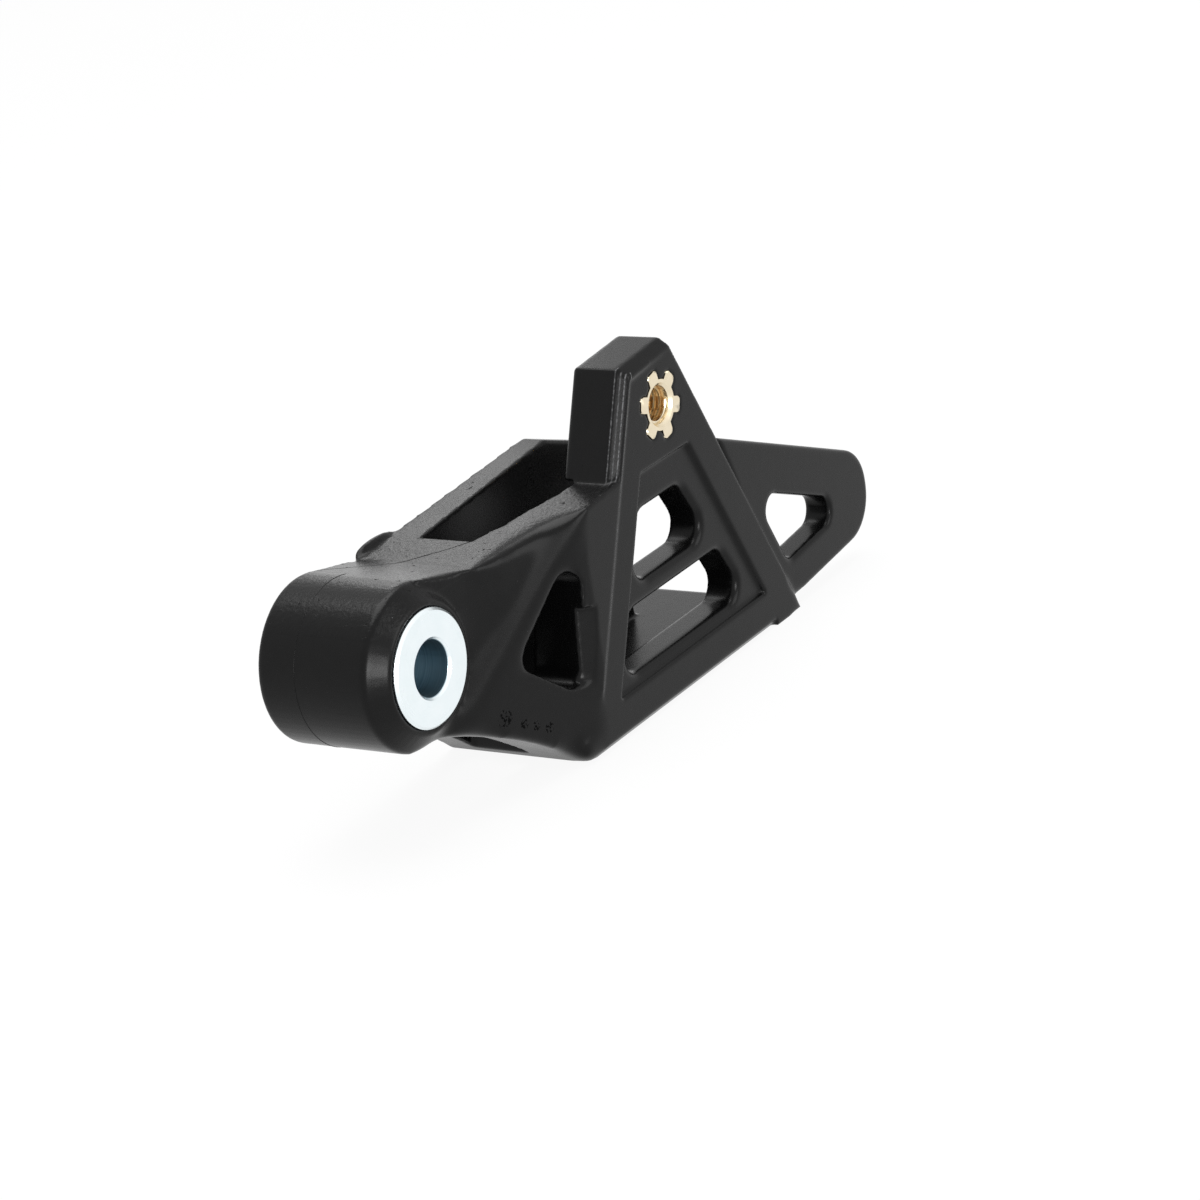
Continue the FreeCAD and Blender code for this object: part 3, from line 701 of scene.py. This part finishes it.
# Painted shade: the bore's colours are far darker than the zinc, for the shade inside the hole; the
# rings between them are turning marks.
BORE_SHADE_DARK = (0.18, 0.27, 0.32, 1)
BORE_SHADE_PALE = (0.50, 0.62, 0.68, 1)
BORE_EDGE = mount_of("bush_bore")["dims"]["r_mm"] + 0.12
# Rings in a millimetre, out along the end and in along the bore.
RINGS_OUT = 5.0
RINGS_IN = 4.0
steel, steel_shader, at = finish("zinc_steel")
x, y, z = axes(at)
radius = (x * x + z * z).root()
stretched = {0: radius * RINGS_OUT, 1: y * RINGS_IN, 2: noise(at, 6.0) * 2.0}
turned = at.node("ShaderNodeCombineXYZ", None, stretched)
rings = noise(turned, 1.0, 3.0)
clouds = noise(at, 3.0, 3.0)
bore = above(BORE_EDGE - radius, 0.0, 0.1)
plated = mixed(clouds, ZINC_DULL, ZINC_BRIGHT)
feed(steel_shader, "Base Color", mixed(bore, plated, mixed(rings, BORE_SHADE_DARK, BORE_SHADE_PALE)))
steel_shader.inputs["Metallic"].default_value = 1.0
feed(steel_shader, "Roughness", 0.24 + rings * 0.1 + bore * 0.06)
bumped(steel_shader, 0.15, rings)
frame["nodes"]["steel_bush"].material_slots[0].material = steel
print("steel bush", len(steel.node_tree.nodes), "nodes")

# %% [markdown]
# ## Brass
# The insert is turned from brass, and shows pale gold where it catches the light. Its threads have a
# painted highlight on their crests, which are paler, and painted shade in their roots, which are
# browner; this tells the turns apart. The distance from the hole's axis gives both.

# %% Brass
GOLD_DULL = (0.74, 0.64, 0.46, 1)
GOLD_BRIGHT = (0.84, 0.75, 0.58, 1)
CREST_HIGHLIGHT_GOLD = (0.95, 0.85, 0.64, 1)
ROOT_SHADE_BROWN = (0.60, 0.40, 0.20, 1)
HOLE_EDGE = 3.3
ROOT_FROM = 2.88
MOUTH_AT = 3.9
hole_x, hole_y, hole_z = thread_mount["pos_m"]

brass, brass_shader, at = finish("turned_brass")
x, y, z = axes(at)
across = x - hole_x / MM
upward = z - hole_z / MM
from_hole = (across * across + upward * upward).root()
in_hole = above(HOLE_EDGE - from_hole, 0.0, 0.3)
tarnish = noise(at, 1.2, 4.0)
gold = mixed(tarnish, GOLD_DULL, GOLD_BRIGHT)
# Painted highlight on the thread crests and painted shade in the thread roots.
thread_highlight_and_shade = mixed(above(from_hole, ROOT_FROM, 0.12), CREST_HIGHLIGHT_GOLD, ROOT_SHADE_BROWN)
deep = in_hole * above(y, hole_y / MM - MOUTH_AT, 0.3)
feed(brass_shader, "Base Color", mixed(deep, gold, thread_highlight_and_shade))
brass_shader.inputs["Metallic"].default_value = 1.0
feed(brass_shader, "Roughness", 0.22 + tarnish * 0.16)
bumped(brass_shader, 0.15, noise(at, 0.3, 2.0))
print("brass", len(brass.node_tree.nodes), "nodes")

# %% [markdown]
# ## Insert
# The insert is a six-lobed star with an M6 thread. The solid has a plain hole of the thread's core
# size, so a copy gets a hole of the full size, for the ridge of the thread to stand in.

# %% Insert
THREAD_ROOT = 3.05 * MM
CORE_LIMIT = 2.7 * MM
WIDEN = THREAD_ROOT / (thread_mount["dims"]["r_mm"] * MM)


def in_core(place):
    return math.hypot(place.x - hole_x, place.z - hole_z) < CORE_LIMIT


insert = copy_of("threaded_insert", "brass_insert")
select_where(insert, in_core)
bpy.ops.transform.resize(value=(WIDEN, 1, WIDEN), center_override=(hole_x, hole_y, hole_z))
bpy.ops.object.mode_set(mode="OBJECT")
print("insert's hole widened by", round(WIDEN, 3))

# %% [markdown]
# ## Thread
# The ridge of a thread has one outline all the way along. Here it is a flat plane with its inner side
# narrowed to a crest, and the Screw modifier winds it up along the hole. It reaches a little into the
# wall, so that no gap shows.

# %% Thread
THREAD_PITCH = 1.0 * MM
THREAD_TURNS = 8
THREAD_STEPS = 40
THREAD_CREST = 2.56 * MM
THREAD_SUNK = 0.06 * MM
ROOT_SHARE = 0.92
CREST_FLAT = 0.27
ridge_middle = (THREAD_CREST + THREAD_ROOT) / 2
bpy.ops.object.select_all(action="DESELECT")
bpy.ops.mesh.primitive_plane_add(size=1, location=(ridge_middle, 0, 0))
thread = bpy.context.object
thread.scale = (THREAD_ROOT - THREAD_CREST + THREAD_SUNK, ROOT_SHARE * THREAD_PITCH, 1)
bpy.ops.object.transform_apply(location=True, rotation=True, scale=True)
for vertex in thread.data.vertices:
    vertex.select = vertex.co.x < ridge_middle
bpy.ops.object.mode_set(mode="EDIT")
bpy.ops.transform.resize(value=(1, CREST_FLAT, 1), center_override=(ridge_middle, 0, 0))
bpy.ops.mesh.select_all(action="SELECT")
bpy.ops.mesh.delete(type="ONLY_FACE")
bpy.ops.object.mode_set(mode="OBJECT")
wind = thread.modifiers.new("wind", "SCREW")
wind.axis = "Y"
wind.screw_offset = THREAD_PITCH
wind.iterations = THREAD_TURNS
wind.steps = THREAD_STEPS
wind.render_steps = THREAD_STEPS
apply_all(thread)
bpy.ops.object.mode_set(mode="EDIT")
bpy.ops.mesh.select_all(action="SELECT")
bpy.ops.mesh.remove_doubles(threshold=WELD)
bpy.ops.mesh.fill_holes(sides=4)
bpy.ops.mesh.normals_make_consistent(inside=False)
bpy.ops.mesh.select_all(action="SELECT")
middle_y = sum(corner[1] for corner in thread.bound_box) / len(thread.bound_box)
bpy.ops.transform.translate(value=(hole_x, hole_y - middle_y, hole_z))
bpy.ops.object.mode_set(mode="OBJECT")
print("thread", len(thread.data.polygons), "faces")

# %% [markdown]
# ## Countersink
# A screw finds a thread more easily through a wider mouth. A cone cuts that mouth in the insert and
# takes the first turn of the thread away with it.

# %% Countersink
SINK_RADIUS = 3.45 * MM
SINK_REACH = 1.0 * MM
hole_front = min(corner[1] for corner in insert.bound_box)
for piece in (thread, insert):
    bpy.ops.object.select_all(action="DESELECT")
    bpy.ops.mesh.primitive_cone_add(
        vertices=64, radius1=SINK_RADIUS - SINK_REACH, radius2=SINK_RADIUS + SINK_REACH,
        depth=2 * SINK_REACH, location=(hole_x, hole_front, hole_z), rotation=(QUARTER, 0, 0))
    sink = bpy.context.object
    bpy.ops.object.transform_apply(location=True, rotation=True, scale=True)
    cut_by(piece, sink)
join_to(insert, thread)
bpy.ops.object.shade_smooth_by_angle(angle=math.radians(30))
settle(insert, brass, "threaded_insert")
